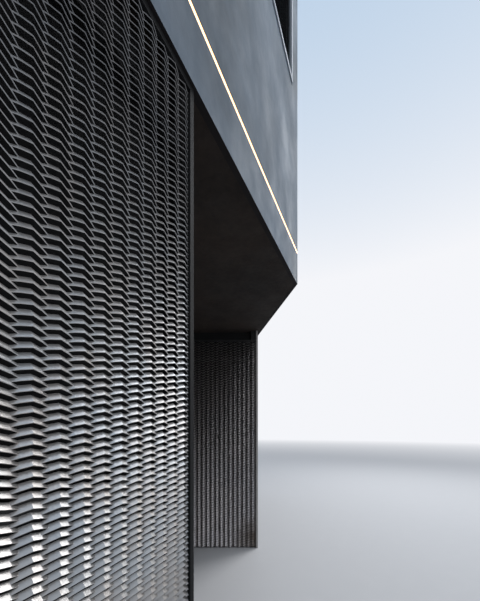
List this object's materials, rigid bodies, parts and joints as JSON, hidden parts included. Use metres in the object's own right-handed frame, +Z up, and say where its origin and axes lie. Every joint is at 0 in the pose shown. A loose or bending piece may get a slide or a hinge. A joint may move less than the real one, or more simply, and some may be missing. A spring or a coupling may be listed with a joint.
{
  "type": "detached house",
  "caption": "Two-storey detached house with a folded smooth upper storey over a ground storey clad in pleated metal mesh, with a covered porch.",
  "frame": {"origin": "on the ground, at the middle of the plan box", "axes": "+X along the street front towards the fold, +Y into the house, +Z up"},
  "size_m": [12.5654, 9.03, 6.52],
  "materials": {
    "structural_concrete": "plain cast concrete",
    "dark_wall_render": "near-black render behind the mesh",
    "smooth_render": "smooth trowelled blue-grey mineral render",
    "soffit_render": "rough dark brown render",
    "dark_frame_metal": "matt anthracite powder coat",
    "door_metal": "satin anthracite powder coat",
    "edge_steel": "mill steel, dull",
    "rail_paint": "matt black paint",
    "mesh_metal": "raw pleated expanded sheet, satin",
    "screen_metal": "dark expanded sheet",
    "window_metal": "satin anodised",
    "window_glass": "clear insulating glass",
    "roof_covering": "pale mineral roofing",
    "light_diffuser": "warm white light diffuser"
  },
  "bodies": {
    "root": {"ground_floor_slab": "structural_concrete", "ground_front_wall": "dark_wall_render", "porch_side_wall": "dark_wall_render", "porch_back_wall": "dark_wall_render", "porch_cheek_wall": "dark_wall_render", "ground_fold_wall": "dark_wall_render", "ground_right_wall": "dark_wall_render", "ground_rear_wall": "smooth_render", "ground_left_wall": "smooth_render", "entrance_door_frame": "dark_frame_metal", "entrance_door_leaf": "door_metal", "entrance_pull_bar": "edge_steel", "garden_door_frame": "dark_frame_metal", "garden_door_glass": "window_glass", "porch_side_mesh": "mesh_metal", "porch_cheek_mesh": "mesh_metal", "fold_mesh_panels": "mesh_metal", "right_mesh_panels": "mesh_metal", "front_mesh_panel_1": "mesh_metal", "front_mesh_panel_2": "mesh_metal", "front_mesh_panel_3": "mesh_metal", "front_mesh_panel_4": "mesh_metal", "front_mesh_frame": "edge_steel", "porch_side_rails": "rail_paint", "porch_cheek_frame": "edge_steel", "fold_mesh_rails": "rail_paint", "right_mesh_frame": "edge_steel", "upper_floor_slab": "soffit_render", "upper_front_wall": "smooth_render", "upper_fold_wall": "smooth_render", "upper_right_wall": "smooth_render", "upper_rear_wall": "smooth_render", "upper_left_wall": "smooth_render", "light_strip": "light_diffuser", "street_window_surrounds": "window_metal", "garden_window_surrounds": "window_metal", "street_window_screens": "screen_metal", "garden_window_screens": "screen_metal", "upper_window_frames": "dark_frame_metal", "upper_window_glass": "window_glass", "roof_slab": "roof_covering", "parapet_coping": "window_metal"}
  },
  "joints": []
}
